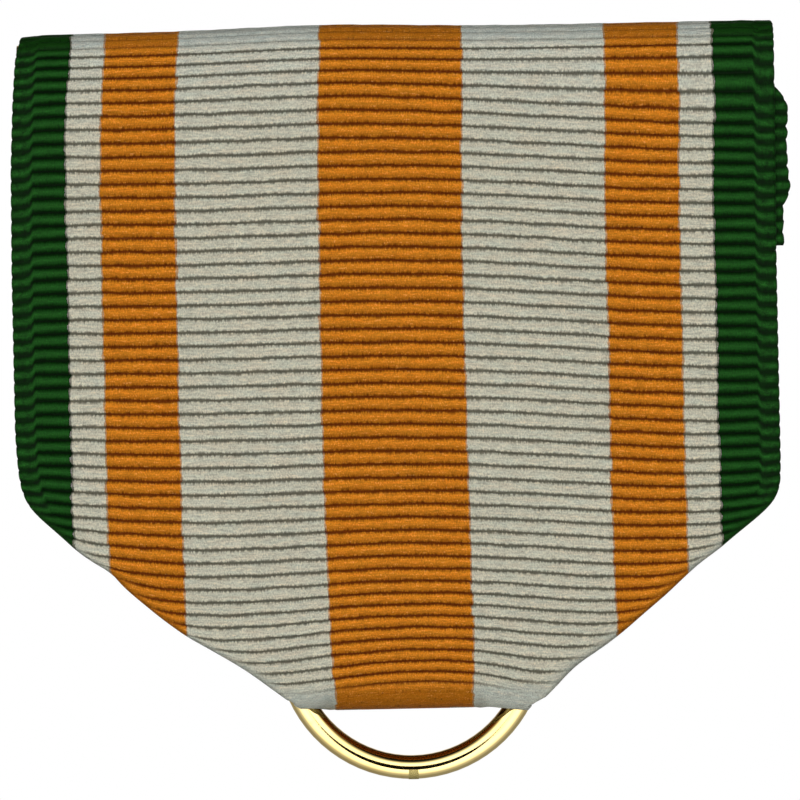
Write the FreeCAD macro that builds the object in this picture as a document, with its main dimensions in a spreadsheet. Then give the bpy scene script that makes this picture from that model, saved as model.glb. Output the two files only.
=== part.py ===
import FreeCAD, Part
import math
import os
import Sketcher

# A service-medal ribbon drape on its pin-back brooch.
# Axes: +X to the wearer's left, +Z up, the ribbon faces -Y and the pin is behind it.
# Origin: the middle of the straight shank of the closed pin.

Vector = FreeCAD.Vector
doc = FreeCAD.newDocument("service_medal")
sheet = doc.addObject("Spreadsheet::Sheet", "dims")
FIXED_SIZES = {
    # ribbon
    "ribbon_width": 34.9,
    "ribbon_top_width": 34.4,
    "ribbon_thickness": 0.35,
    "ply_gap": 0.05,
    "drape_height": 31.07,
    "straight_side": 21.65,
    "fold_half_width": 5.4,
    "corner_rounding": 2.2,
    "wrap_half_width": 16.25,
    "tail_length": 10.3,
    "tail_left_edge": 16.6,
    "tail_right_edge": 17.9,
    "tail_shoulder": 3.2,
    "underturn_radius": 0.4,
    "turnup_radius": 1.35,
    "throat_half_width": 3.3,
    "fold_lip": 0.15,
    "turnup_half_width": 9.0,
    "turnup_height": 12.0,
    "turnup_bend_height": 9.2,
    "turnup_contact_height": 10.8,
    "flap_inner_top": 4.0,
    "flap_inner_bottom": 1.6,
    "flap_bottom": 1.6,
    "flap_top_angle": 12.0,
    "roll_depth": 0.4,
    # brooch
    "bar_radius": 0.70,
    "wrap_clearance": 0.05,
    "bar_setback": 2.30,
    "bar_height": 3.0,
    "spigot_radius": 0.40,
    "plate_half_width": 17.1,
    "plate_height": 8.05,
    "plate_thickness": 0.8,
    "plate_gap": 1.25,
    "plate_corner": 1.6,
    "plate_edge": 0.15,
    "ear_inner_face": 16.35,
    "ear_radius": 0.72,
    "ear_neck": 0.70,
    # hinge and pin
    "joint_spacing": 28.4,
    "leaf_thickness": 0.35,
    "leaf_half_height": 1.75,
    "lug_inner_face": 0.65,
    "lug_thickness": 0.45,
    "lug_radius": 1.05,
    "rivet_radius": 0.40,
    "rivet_head_radius": 0.75,
    "rivet_head_height": 0.32,
    "rivet_clearance": 0.05,
    "eye_radius": 1.0,
    "eye_half_height": 0.58,
    "neck_radius": 0.56,
    "shank_start": 2.2,
    "shank_radius": 0.42,
    "shank_end": 26.2,
    "pin_length": 31.0,
    "pin_tip_radius": 0.06,
    # safety catch
    "housing_half_length": 1.3,
    "housing_radius": 1.38,
    "housing_bore": 1.02,
    "housing_foot_half_height": 1.65,
    "catch_mouth": 0.55,
    "window_half_length": 0.52,
    "window_depth": 0.45,
    "rotor_clearance": 0.06,
    "rotor_bore": 0.55,
    "rotor_mouth": 0.50,
    "rotor_half_length": 1.22,
    "lever_half_length": 0.42,
    "lever_half_width": 0.35,
    "lever_reach": 2.3,
    # suspension ring
    "ring_radius": 5.60,
    "ring_wire_radius": 0.55,
    "ring_height": 2.90,
    "ring_offset": 0.35,
    "ring_joint_angle": 4.4,
    "solder_radius": 0.565,
    "solder_depth": 0.11,
    # sewing thread
    "thread_radius": 0.12,
    "thread_bend": 0.2,
    "stitch_length": 1.5,
    "seam_inset": 1.2,
}
DERIVED_SIZES = {
    "half_width": "=ribbon_width / 2",
    "wrap_inner": "=bar_radius + wrap_clearance",
    "wrap_outer": "=wrap_inner + ribbon_thickness",
    "front_face": "=-wrap_outer",
    "front_back": "=-wrap_inner",
    "second_front": "=-wrap_inner + ply_gap",
    "second_back": "=-wrap_inner + ply_gap + ribbon_thickness",
    "third_back": "=second_back + ply_gap + ribbon_thickness",
    "top_line": "=wrap_outer",
    "fold_line": "=wrap_outer - drape_height",
    "side_line": "=wrap_outer - straight_side",
    "ring_plane": "=front_face + turnup_radius",
    "turnup_front": "=ring_plane + turnup_radius - ribbon_thickness",
    "turnup_back": "=ring_plane + turnup_radius",
    "solder_half_width": "=sqrt(solder_radius^2 - solder_depth^2)",
    "slope_run": "=half_width - fold_half_width",
    "slope_rise": "=side_line - fold_line",
    "wrap_middle": "=wrap_inner + ribbon_thickness / 2",
    "tail_middle": "=second_front + ribbon_thickness / 2",
    "plate_front": "=second_back + 0.4",
    "plate_back": "=plate_front + plate_thickness",
    "pin_standoff": "=bar_setback - plate_back",
    "housing_foot_depth": "=pin_standoff - 0.45",
}


def fill_sheet():
    """Write every size into the sheet, one named cell per size."""
    row = 1
    for name, value in FIXED_SIZES.items():
        sheet.set(f"A{row}", name)
        sheet.set(f"B{row}", str(value))
        sheet.setAlias(f"B{row}", name)
        row += 1
    for name, formula in DERIVED_SIZES.items():
        sheet.set(f"A{row}", name)
        sheet.set(f"B{row}", formula)
        sheet.setAlias(f"B{row}", name)
        row += 1
    doc.recompute()


def linked(formula):
    """Return the formula with every sheet size written as dims.size."""
    text = str(formula)
    words = []
    word = ""
    for letter in text + " ":
        if letter.isalnum() or letter == "_":
            word += letter
            continue
        if word in FIXED_SIZES or word in DERIVED_SIZES:
            word = "dims." + word
        words.append(word + letter)
        word = ""
    return "".join(words).strip()


def value_of(formula):
    """Return the present number of a formula."""
    return float(sheet.evalExpression(linked(formula)))


def new_body(label, base=("0", "0", "0")):
    """Start a sub-part whose placement follows three formulas."""
    body = doc.addObject("PartDesign::Body", label)
    body.Label = label
    for letter, formula in zip("xyz", base):
        body.setExpression(f"Placement.Base.{letter}", linked(formula))
    return body


def origin_feature(body, role):
    """Return one plane or axis of the body's own origin."""
    for feature in body.Origin.OriginFeatures:
        if feature.Role == role:
            return feature
    raise ValueError(role)


def new_sketch(body, name, role, offset="0"):
    """Start a sketch on one of the body's planes, offset along its normal."""
    sketch = body.newObject("Sketcher::SketchObject", name)
    sketch.AttachmentSupport = [(origin_feature(body, role), "")]
    sketch.MapMode = "FlatFace"
    sketch.setExpression("AttachmentOffset.Base.z", linked(offset))
    return sketch


def bind(sketch, kind, first, second, formula):
    """Add one dimension between points of the sketch and tie it to a formula."""
    constraint = Sketcher.Constraint(kind, *first, *second, value_of(formula))
    index = sketch.addConstraint(constraint)
    sketch.setExpression(f"Constraints[{index}]", linked(formula))


def bind_radius(sketch, geometry, formula):
    """Tie the radius of a circle or arc to a formula."""
    index = sketch.addConstraint(Sketcher.Constraint("Radius", geometry, value_of(formula)))
    sketch.setExpression(f"Constraints[{index}]", linked(formula))


def pin_point(sketch, geometry, position, across, along):
    """Hold one point of the sketch at the place given by two formulas."""
    bind(sketch, "DistanceX", (-1, 1), (geometry, position), across)
    bind(sketch, "DistanceY", (-1, 1), (geometry, position), along)


def draw_chain(sketch, corners, closed=True):
    """Draw a chain of lines and arcs through corners.

    A corner is (across, along) for a line to the next corner, or
    (across, along, centre across, centre along, radius, turn) for an arc to it,
    where turn is "left" for anticlockwise and "right" for clockwise.
    """
    count = len(corners)
    pieces = count if closed else count - 1
    starts = []
    ends = []
    for i in range(pieces):
        here = Vector(value_of(corners[i][0]), value_of(corners[i][1]), 0)
        target = corners[(i + 1) % count]
        there = Vector(value_of(target[0]), value_of(target[1]), 0)
        if len(corners[i]) == 2:
            sketch.addGeometry(Part.LineSegment(here, there))
            starts.append(1)
            ends.append(2)
            continue
        centre = Vector(value_of(corners[i][2]), value_of(corners[i][3]), 0)
        left = corners[i][5] == "left"
        first, last = (here, there) if left else (there, here)
        begin = math.atan2(first.y - centre.y, first.x - centre.x)
        finish = math.atan2(last.y - centre.y, last.x - centre.x)
        while finish <= begin:
            finish += 2 * math.pi
        circle = Part.Circle(centre, Vector(0, 0, 1), value_of(corners[i][4]))
        sketch.addGeometry(Part.ArcOfCircle(circle, begin, finish))
        starts.append(1 if left else 2)
        ends.append(2 if left else 1)
    for i in range(pieces):
        if closed or i + 1 < pieces:
            following = (i + 1) % pieces
            joint = Sketcher.Constraint("Coincident", i, ends[i], following, starts[following])
            sketch.addConstraint(joint)
        pin_point(sketch, i, starts[i], corners[i][0], corners[i][1])
        if len(corners[i]) > 2:
            bind_radius(sketch, i, corners[i][4])
    if not closed:
        pin_point(sketch, pieces - 1, ends[-1], corners[-1][0], corners[-1][1])


def draw_circle(sketch, across, along, radius):
    """Draw one circle whose centre and radius follow formulas."""
    centre = Vector(value_of(across), value_of(along), 0)
    index = sketch.addGeometry(Part.Circle(centre, Vector(0, 0, 1), value_of(radius)))
    bind_radius(sketch, index, radius)
    pin_point(sketch, index, 3, across, along)


def extrude(body, kind, name, sketch, length, both_ways=False, reverse=False):
    """Pad or pocket a sketch by a length that follows a formula."""
    feature = body.newObject("PartDesign::" + kind, name)
    feature.Profile = sketch
    feature.setExpression("Length", linked(length))
    feature.Midplane = both_ways
    feature.Reversed = reverse
    sketch.Visibility = False
    body.Tip = feature
    doc.recompute()
    return feature


def pad(body, name, role, corners, offset, length, both_ways=False):
    """Pad a closed chain drawn on one of the body's planes."""
    sketch = new_sketch(body, name + "_sketch", role, offset)
    draw_chain(sketch, corners)
    return extrude(body, "Pad", name, sketch, length, both_ways)


def pad_between(body, name, corners, front, back):
    """Pad an outline seen from the front, from the depth front to the depth back."""
    return pad(body, name, "XZ_Plane", corners, f"-({back})", f"({back}) - ({front})")


def pocket(body, name, role, corners, length):
    """Cut a closed chain through the body, equally to both sides of the plane."""
    before = body.Tip.Shape.Volume
    sketch = new_sketch(body, name + "_sketch", role)
    draw_chain(sketch, corners)
    feature = extrude(body, "Pocket", name, sketch, length, both_ways=True)
    if feature.Shape.Volume >= before:
        raise RuntimeError(name + " removed nothing")
    return feature


def bore(body, name, role, radius, length):
    """Cut a round hole about the body's origin, equally to both sides of the plane."""
    before = body.Tip.Shape.Volume
    sketch = new_sketch(body, name + "_sketch", role)
    draw_circle(sketch, "0", "0", radius)
    feature = extrude(body, "Pocket", name, sketch, length, both_ways=True)
    if feature.Shape.Volume >= before:
        raise RuntimeError(name + " removed nothing")
    return feature


def revolve(body, name, role, corners, axis_role, angle="360", circle=None, kind="Revolution"):
    """Revolve a closed chain, or one circle, about an axis of the body; Groove cuts with it."""
    sketch = new_sketch(body, name + "_sketch", role)
    if circle:
        draw_circle(sketch, *circle)
    else:
        draw_chain(sketch, corners)
    feature = body.newObject("PartDesign::" + kind, name)
    feature.Profile = sketch
    feature.ReferenceAxis = (origin_feature(body, axis_role), [""])
    feature.setExpression("Angle", linked(angle))
    feature.Midplane = True
    sketch.Visibility = False
    body.Tip = feature
    doc.recompute()
    return feature


def mirror(body, name, feature, role):
    """Repeat one feature on the other side of a plane of the body."""
    mirrored = body.newObject("PartDesign::Mirrored", name)
    body.Tip = mirrored
    mirrored.Originals = [feature]
    mirrored.MirrorPlane = (origin_feature(body, role), [""])
    doc.recompute()
    return mirrored


def round_edges(body, name, radius, wanted):
    """Fillet every edge of the tip for which wanted(edge) is true."""
    base = body.Tip
    names = []
    for number, edge in enumerate(base.Shape.Edges, 1):
        if wanted(edge):
            names.append(f"Edge{number}")
    if not names:
        raise RuntimeError(name + " found no edge")
    fillet = body.newObject("PartDesign::Fillet", name)
    fillet.Base = (base, names)
    fillet.setExpression("Radius", linked(radius))
    body.Tip = fillet
    doc.recompute()
    return fillet


def runs_along(edge, direction):
    """Tell whether an edge is straight and parallel to a direction."""
    if edge.Curve.TypeId != "Part::GeomLine":
        return False
    tangent = edge.tangentAt(edge.FirstParameter)
    return abs(abs(tangent.dot(direction)) - 1) < 0.001


def make_brooch_plate():
    """Flat plate behind the ribbon, with an ear at each end that holds the bar."""
    body = new_body("brooch_plate", ("0", "-bar_setback", "bar_height"))
    outline = [
        ("-plate_half_width", "-plate_gap"),
        ("-plate_half_width", "-plate_gap - plate_height"),
        ("plate_half_width", "-plate_gap - plate_height"),
        ("plate_half_width", "-plate_gap"),
    ]
    pad_between(body, "plate", outline, "plate_front", "plate_back")

    def lower_corner(edge):
        low = edge.CenterOfMass.z < body.Shape.BoundBox.Center.z
        return runs_along(edge, Vector(0, 1, 0)) and low

    round_edges(body, "plate_corners", "plate_corner", lower_corner)

    def back_rim(edge):
        return edge.BoundBox.YMin > value_of("plate_back") - 0.01

    round_edges(body, "plate_rim", "plate_edge", back_rim)
    rise = "sqrt(ear_radius * ear_radius - plate_front * plate_front)"
    fall = "sqrt(ear_radius * ear_radius - ear_neck * ear_neck)"
    ear_outline = [
        ("plate_front", "-plate_gap - 0.3"),
        ("ear_neck", "-plate_gap - 0.3"),
        ("ear_neck", "-" + fall, "0", "0", "ear_radius", "left"),
        ("plate_front", "-" + rise),
    ]
    thickness = "plate_half_width - ear_inner_face"
    ear = pad(body, "ear", "YZ_Plane", ear_outline, "ear_inner_face", thickness)
    mirror(body, "other_ear", ear, "YZ_Plane")
    bore(body, "spigot_holes", "YZ_Plane", "spigot_radius", "2 * plate_half_width + 2")
    return body


def make_top_bar():
    """Round bar the ribbon turns over, with a spigot at each end for the ears."""
    body = new_body("top_bar", ("0", "-bar_setback", "bar_height"))
    profile = [
        ("-plate_half_width", "0"),
        ("plate_half_width", "0"),
        ("plate_half_width", "spigot_radius"),
        ("ear_inner_face", "spigot_radius"),
        ("ear_inner_face", "bar_radius"),
        ("-ear_inner_face", "bar_radius"),
        ("-ear_inner_face", "spigot_radius"),
        ("-plate_half_width", "spigot_radius"),
    ]
    revolve(body, "bar", "XY_Plane", profile, "X_Axis")
    return body


def make_hinge_bracket():
    """Leaf soldered to the plate with two lugs that carry the hinge rivet."""
    body = new_body("hinge_bracket", ("-joint_spacing / 2", "0", "0"))
    leaf = [
        ("-1.7", "-pin_standoff"),
        ("1.3", "-pin_standoff"),
        ("1.3", "-pin_standoff + leaf_thickness"),
        ("-1.7", "-pin_standoff + leaf_thickness"),
    ]
    pad(body, "leaf", "XY_Plane", leaf, "0", "2 * leaf_half_height", both_ways=True)
    lug_outline = [
        ("-lug_radius", "-pin_standoff + leaf_thickness / 2"),
        ("lug_radius", "-pin_standoff + leaf_thickness / 2"),
        ("lug_radius", "0", "0", "0", "lug_radius", "left"),
        ("0", "lug_radius", "0", "0", "lug_radius", "left"),
        ("-lug_radius", "0"),
    ]
    lug = pad(body, "lug", "XY_Plane", lug_outline, "lug_inner_face", "lug_thickness")
    mirror(body, "other_lug", lug, "XY_Plane")
    bore(body, "rivet_hole", "XY_Plane", "rivet_radius", "2 * leaf_half_height + 2")
    return body


def make_hinge_rivet():
    """Rivet through the lugs, headed at both ends."""
    body = new_body("hinge_rivet", ("-joint_spacing / 2", "0", "0"))
    reach = "lug_inner_face + lug_thickness"
    upper = [
        ("rivet_radius", reach),
        ("rivet_head_radius", reach),
        ("rivet_head_radius", reach + " + rivet_head_height * 0.4"),
        ("rivet_head_radius * 0.6", reach + " + rivet_head_height"),
        ("0", reach + " + rivet_head_height"),
    ]
    lower = [(across, f"-({along})") for across, along in reversed(upper)]
    revolve(body, "rivet", "XZ_Plane", lower + upper, "Z_Axis")
    return body


def make_pin_stem():
    """Pin: an eye on the rivet, a short neck, a straight shank and a long point."""
    body = new_body("pin_stem", ("-joint_spacing / 2", "0", "0"))
    sketch = new_sketch(body, "eye_sketch", "XY_Plane")
    draw_circle(sketch, "0", "0", "eye_radius")
    extrude(body, "Pad", "eye", sketch, "2 * eye_half_height", both_ways=True)
    profile = [
        ("eye_radius * 0.7", "0"),
        ("pin_length", "0"),
        ("pin_length", "pin_tip_radius"),
        ("shank_end", "shank_radius"),
        ("shank_start", "shank_radius"),
        ("eye_radius * 0.7", "neck_radius"),
    ]
    revolve(body, "shank", "XY_Plane", profile, "X_Axis")
    bore(body, "rivet_hole", "XY_Plane", "rivet_radius + rivet_clearance", "4")
    return body


def make_catch_housing():
    """Open barrel on a foot, with a window the catch lever moves in."""
    body = new_body("catch_housing", ("joint_spacing / 2", "0", "0"))
    sketch = new_sketch(body, "barrel_sketch", "YZ_Plane")
    draw_circle(sketch, "0", "0", "housing_radius")
    extrude(body, "Pad", "barrel", sketch, "2 * housing_half_length", both_ways=True)
    foot = [
        ("-pin_standoff", "-housing_foot_half_height"),
        ("-housing_foot_depth", "-housing_foot_half_height"),
        ("-housing_foot_depth", "housing_foot_half_height"),
        ("-pin_standoff", "housing_foot_half_height"),
    ]
    pad(body, "foot", "YZ_Plane", foot, "0", "2 * housing_half_length", both_ways=True)
    bore(body, "barrel_bore", "YZ_Plane", "housing_bore", "2 * housing_half_length + 2")
    mouth = [
        ("0", "-catch_mouth"),
        ("2", "-catch_mouth"),
        ("2", "catch_mouth"),
        ("0", "catch_mouth"),
    ]
    pocket(body, "barrel_mouth", "YZ_Plane", mouth, "2 * housing_half_length + 2")
    window = [
        ("-window_depth", "0"),
        ("2", "0"),
        ("2", "2"),
        ("-window_depth", "2"),
    ]
    pocket(body, "lever_window", "YZ_Plane", window, "2 * window_half_length")
    return body


def make_catch_rotor():
    """Split sleeve that turns in the barrel to shut its mouth, with a lever."""
    body = new_body("catch_rotor", ("joint_spacing / 2", "0", "0"))
    sketch = new_sketch(body, "sleeve_sketch", "YZ_Plane")
    draw_circle(sketch, "0", "0", "housing_bore - rotor_clearance")
    extrude(body, "Pad", "sleeve", sketch, "2 * rotor_half_length", both_ways=True)
    lever = [
        ("-lever_half_width", "0"),
        ("lever_half_width", "0"),
        ("lever_half_width", "lever_reach"),
        ("-lever_half_width", "lever_reach"),
    ]
    pad(body, "lever", "YZ_Plane", lever, "0", "2 * lever_half_length", both_ways=True)

    def lever_tip(edge):
        return runs_along(edge, Vector(1, 0, 0)) and edge.BoundBox.ZMin > 2

    round_edges(body, "lever_round", "lever_half_width * 0.8", lever_tip)
    bore(body, "sleeve_bore", "YZ_Plane", "rotor_bore", "2 * rotor_half_length + 2")
    mouth = [
        ("0", "-rotor_mouth"),
        ("2", "-rotor_mouth"),
        ("2", "rotor_mouth"),
        ("0", "rotor_mouth"),
    ]
    pocket(body, "sleeve_mouth", "YZ_Plane", mouth, "2 * rotor_half_length + 2")
    return body


def make_ribbon_drape():
    """The whole ribbon as one folded strip.

    It turns over the bar and its tail comes forward through the slot; below, the
    corners are turned back and the narrowed end passes through the ring and up.
    """
    body = new_body("ribbon_drape", ("0", "-bar_setback", "bar_height"))
    front = [
        ("-ribbon_top_width / 2", "0"),
        ("-half_width", "-2.5"),
        ("-half_width", "side_line"),
        ("-fold_half_width", "fold_line + fold_lip"),
        ("-throat_half_width", "fold_line + fold_lip"),
        ("-throat_half_width", "fold_line + turnup_radius"),
        ("throat_half_width", "fold_line + turnup_radius"),
        ("throat_half_width", "fold_line + fold_lip"),
        ("fold_half_width", "fold_line + fold_lip"),
        ("half_width", "side_line"),
        ("half_width", "-2.5"),
        ("ribbon_top_width / 2", "0"),
    ]
    pad_between(body, "front_ply", front, "front_face", "front_back")

    def side_corner(edge):
        place = edge.CenterOfMass
        at_side = abs(abs(place.x) - value_of("half_width")) < 0.01
        at_line = abs(place.z - value_of("side_line")) < 0.01
        return runs_along(edge, Vector(0, 1, 0)) and at_side and at_line

    round_edges(body, "side_corners", "corner_rounding", side_corner)

    top_roll = [
        ("-wrap_outer", "0", "0", "0", "wrap_outer", "right"),
        ("wrap_outer * 0.5", "wrap_outer * sqrt(0.75)"),
        ("wrap_inner * 0.5", "wrap_inner * sqrt(0.75)", "0", "0", "wrap_inner", "left"),
        ("-wrap_inner", "0"),
    ]
    pad(body, "top_roll", "YZ_Plane", top_roll, "0", "ribbon_top_width", both_ways=True)
    bend = "underturn_radius"
    bend_line = "-wrap_middle - underturn_radius"
    bend_depth = "tail_middle + underturn_radius"
    wide = bend + " + ribbon_thickness / 2"
    tight = bend + " - ribbon_thickness / 2"
    wrap = [
        ("-wrap_outer * 0.2", "wrap_outer * sqrt(0.96)", "0", "0", "wrap_outer", "right"),
        ("0", "-wrap_outer"),
        (bend_depth, "-wrap_outer", bend_depth, bend_line, tight, "left"),
        ("second_back", bend_line),
        ("second_back", bend_line + " - 0.8"),
        ("second_front", bend_line + " - 0.8"),
        ("second_front", bend_line, bend_depth, bend_line, wide, "right"),
        (bend_depth, "-wrap_inner"),
        ("0", "-wrap_inner", "0", "0", "wrap_inner", "left"),
        ("-wrap_inner * 0.2", "wrap_inner * sqrt(0.96)"),
    ]
    pad(body, "wrap", "YZ_Plane", wrap, "0", "2 * wrap_half_width", both_ways=True)

    tail = [
        ("-wrap_half_width", bend_line + " - 0.4"),
        ("-tail_left_edge", "top_line - tail_shoulder"),
        ("-tail_left_edge", "top_line - tail_length"),
        ("tail_right_edge", "top_line - tail_length"),
        ("tail_right_edge", "top_line - tail_shoulder - 0.9"),
        ("wrap_half_width", bend_line + " - 0.4"),
    ]
    pad_between(body, "top_tail", tail, "second_front", "second_back")

    for side, sign in (("right", ""), ("left", "-")):
        flap = [
            (sign + "(fold_half_width + flap_bottom * slope_run / slope_rise)",
             "fold_line + flap_bottom"),
            (sign + "(half_width - 1.0)", "side_line - 1.0 * slope_rise / slope_run"),
            (sign + "(half_width - 1.2)", "side_line + 0.1"),
            (sign + "flap_inner_top",
             "side_line + (half_width - flap_inner_top) * tan(flap_top_angle)"),
            (sign + "flap_inner_bottom", "fold_line + flap_bottom"),
        ]
        pad_between(body, "flap_" + side, flap, "second_front", "second_back")
        roll = [
            (sign + "(fold_half_width + 0.6)", "fold_line + 0.6 * slope_rise / slope_run"),
            (sign + "(half_width - 1.0)", "side_line - 1.0 * slope_rise / slope_run"),
            (sign + "(half_width - 1.0 - roll_depth)",
             "side_line - 1.0 * slope_rise / slope_run + roll_depth / 2"),
            (sign + "(fold_half_width + 0.6 - roll_depth / 4)",
             "fold_line + 0.6 * slope_rise / slope_run + roll_depth"),
        ]
        pad_between(body, "edge_roll_" + side, roll, "front_face + 0.05", "second_back")

    turn_line = "fold_line + turnup_radius"
    hollow = "turnup_radius - ribbon_thickness"
    turn = [
        ("front_face", turn_line + " + 0.3"),
        ("front_face", turn_line, "ring_plane", turn_line, "turnup_radius", "left"),
        ("ring_plane", "fold_line", "ring_plane", turn_line, "turnup_radius", "left"),
        ("turnup_back", turn_line),
        ("turnup_back", turn_line + " + 0.3"),
        ("turnup_front", turn_line + " + 0.3"),
        ("turnup_front", turn_line, "ring_plane", turn_line, hollow, "right"),
        ("ring_plane", "fold_line + ribbon_thickness", "ring_plane", turn_line, hollow, "right"),
        ("front_back", turn_line),
        ("front_back", turn_line + " + 0.3"),
    ]
    pad(body, "bottom_turn", "YZ_Plane", turn, "0", "2 * throat_half_width", both_ways=True)
    turnup_low = [
        ("-throat_half_width", turn_line),
        ("throat_half_width", turn_line),
        ("throat_half_width + 0.4", turn_line + " + 2"),
        ("turnup_half_width - 1.5", "fold_line + turnup_bend_height"),
        ("-turnup_half_width + 1.5", "fold_line + turnup_bend_height"),
        ("-throat_half_width - 0.4", turn_line + " + 2"),
    ]
    pad_between(body, "turnup", turnup_low, "turnup_front", "turnup_back")
    slant = [
        ("turnup_front", "fold_line + turnup_bend_height - 0.2"),
        ("turnup_back", "fold_line + turnup_bend_height - 0.2"),
        ("third_back", "fold_line + turnup_contact_height"),
        ("third_back", "fold_line + turnup_height"),
        ("second_back + ply_gap", "fold_line + turnup_height"),
        ("second_back + ply_gap", "fold_line + turnup_contact_height - 0.15"),
    ]
    upper_width = "2 * turnup_half_width - 3"
    pad(body, "turnup_end", "YZ_Plane", slant, "0", upper_width, both_ways=True)
    sewn = [
        ("-2", "fold_line + turnup_contact_height"),
        ("2", "fold_line + turnup_contact_height"),
        ("2", "fold_line + turnup_height"),
        ("-2", "fold_line + turnup_height"),
    ]
    pad_between(body, "pressed_middle", sewn, "front_back - 0.01", "second_back + ply_gap + 0.01")
    return body


def make_seam(label, base, span, back_level, front_level, tilt=0.0):
    """Running stitch: one thread that dips in and out along a straight line.

    The two levels are depths measured from the seam's own base point.
    """
    body = new_body(label, base)
    body.Placement.Rotation = FreeCAD.Rotation(Vector(0, 1, 0), tilt)
    pitch = value_of("stitch_length")
    bend = value_of("thread_bend")
    count = int(span / (2 * pitch))
    corners = []
    start = -count * pitch
    for number in range(count):
        left = start + 2 * pitch * number
        for begin, near, far, sign in (
            (left, back_level, front_level, -1),
            (left + pitch, front_level, back_level, 1),
        ):
            turn_in = "left" if sign > 0 else "right"
            turn_out = "right" if sign > 0 else "left"
            reach = begin + pitch - 2 * bend
            corners.append((str(begin), near))
            corners.append((str(reach), near, str(reach), f"{near} + ({sign}) * thread_bend",
                            "thread_bend", turn_in))
            corners.append((str(reach + bend), f"{near} + ({sign}) * thread_bend"))
            corners.append((str(reach + bend), f"{far} - ({sign}) * thread_bend",
                            str(reach + 2 * bend), f"{far} - ({sign}) * thread_bend",
                            "thread_bend", turn_out))
    corners.append((str(-start), back_level))
    path = new_sketch(body, "path", "XY_Plane")
    draw_chain(path, corners, closed=False)
    section = new_sketch(body, "section", "YZ_Plane", str(start))
    draw_circle(section, back_level, "0", "thread_radius")
    doc.recompute()
    sweep = body.newObject("PartDesign::AdditivePipe", "thread")
    sweep.Profile = section
    sweep.Spine = (path, [])
    body.Tip = sweep
    path.Visibility = False
    section.Visibility = False
    doc.recompute()
    return body


def make_seams():
    """The five seams that hold the folded ribbon together."""
    ribbon_depth = "-bar_setback"
    tail_seam_height = "bar_height + top_line - tail_length + seam_inset"
    seams = [
        make_seam("seam_top_tail", ("0", ribbon_depth, tail_seam_height), 28.0,
                  "(second_back + 0.05)", "(front_back - 0.08)"),
    ]
    slope = value_of("flap_top_angle")
    rise = "side_line + (half_width - 12.0) * tan(flap_top_angle) - seam_inset"
    turnup_seam = "bar_height + fold_line + turnup_contact_height + 0.55"
    for side, sign in (("right", ""), ("left", "-")):
        tilt = slope if side == "right" else -slope
        flap_base = (sign + "12.0", ribbon_depth, "bar_height + " + rise)
        seams.append(make_seam("seam_flap_" + side, flap_base, 6.0,
                               "(second_back + 0.05)", "(front_back - 0.08)", tilt))
        turnup_base = (sign + "5.6", ribbon_depth, turnup_seam)
        seams.append(make_seam("seam_turnup_" + side, turnup_base, 3.0,
                               "(third_back + 0.05)", "(second_front + 0.15)"))
    return seams


def make_suspension_ring():
    """Wire ring whose butt joint, at the bottom, is notched on its outer side for solder."""
    depth = "-bar_setback + ring_plane"
    height = "bar_height + fold_line + ring_height"
    body = new_body("suspension_ring", ("ring_offset", depth, height))
    circle = ("0", "ring_radius", "ring_wire_radius")
    revolve(body, "ring", "YZ_Plane", None, "Y_Axis", "360", circle)
    upper = "-ring_radius - solder_depth"
    lower = "-ring_radius - 2 * ring_wire_radius"
    notch = [
        ("-2 * ring_wire_radius", lower),
        ("2 * ring_wire_radius", lower),
        ("2 * ring_wire_radius", upper),
        ("-2 * ring_wire_radius", upper),
    ]
    revolve(body, "joint_notch", "YZ_Plane", notch, "Y_Axis", "ring_joint_angle", kind="Groove")
    return body


def make_ring_solder():
    """Solder that fills the notch of the ring, a little proud of the wire."""
    depth = "-bar_setback + ring_plane"
    height = "bar_height + fold_line + ring_height"
    body = new_body("ring_solder", ("ring_offset", depth, height))
    upper = "-ring_radius - solder_depth"
    section = [
        ("solder_half_width", upper, "0", "-ring_radius", "solder_radius", "right"),
        ("0", "-ring_radius - solder_radius", "0", "-ring_radius", "solder_radius", "right"),
        ("-solder_half_width", upper),
    ]
    revolve(body, "solder", "YZ_Plane", section, "Y_Axis", "ring_joint_angle")
    return body


def check_and_export(bodies):
    """Stop on any broken feature, then write one STEP file per sub-part."""
    doc.recompute()
    for item in doc.Objects:
        if "Invalid" in item.State or "Error" in item.State:
            raise RuntimeError(f"{item.Label} in {item.State}")
    os.makedirs("parts", exist_ok=True)
    for body in bodies:
        shape = body.Shape
        if shape.isNull() or not shape.isValid() or len(shape.Solids) != 1:
            raise RuntimeError(f"{body.Label} is not one valid solid")
        shape.exportStep(os.path.join("parts", body.Label + ".step"))
        box = shape.BoundBox
        print(f"{body.Label:18s} volume {shape.Volume:9.3f}  "
              f"x {box.XMin:7.2f} {box.XMax:7.2f}  y {box.YMin:6.2f} {box.YMax:6.2f}  "
              f"z {box.ZMin:7.2f} {box.ZMax:7.2f}")


fill_sheet()
all_bodies = [
    make_brooch_plate(),
    make_top_bar(),
    make_hinge_bracket(),
    make_hinge_rivet(),
    make_pin_stem(),
    make_catch_housing(),
    make_catch_rotor(),
    make_ribbon_drape(),
    make_suspension_ring(),
    make_ring_solder(),
]
all_bodies += make_seams()
check_and_export(all_bodies)
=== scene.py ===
import math

import bpy
import numpy as np
from mathutils import Matrix, Vector


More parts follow.
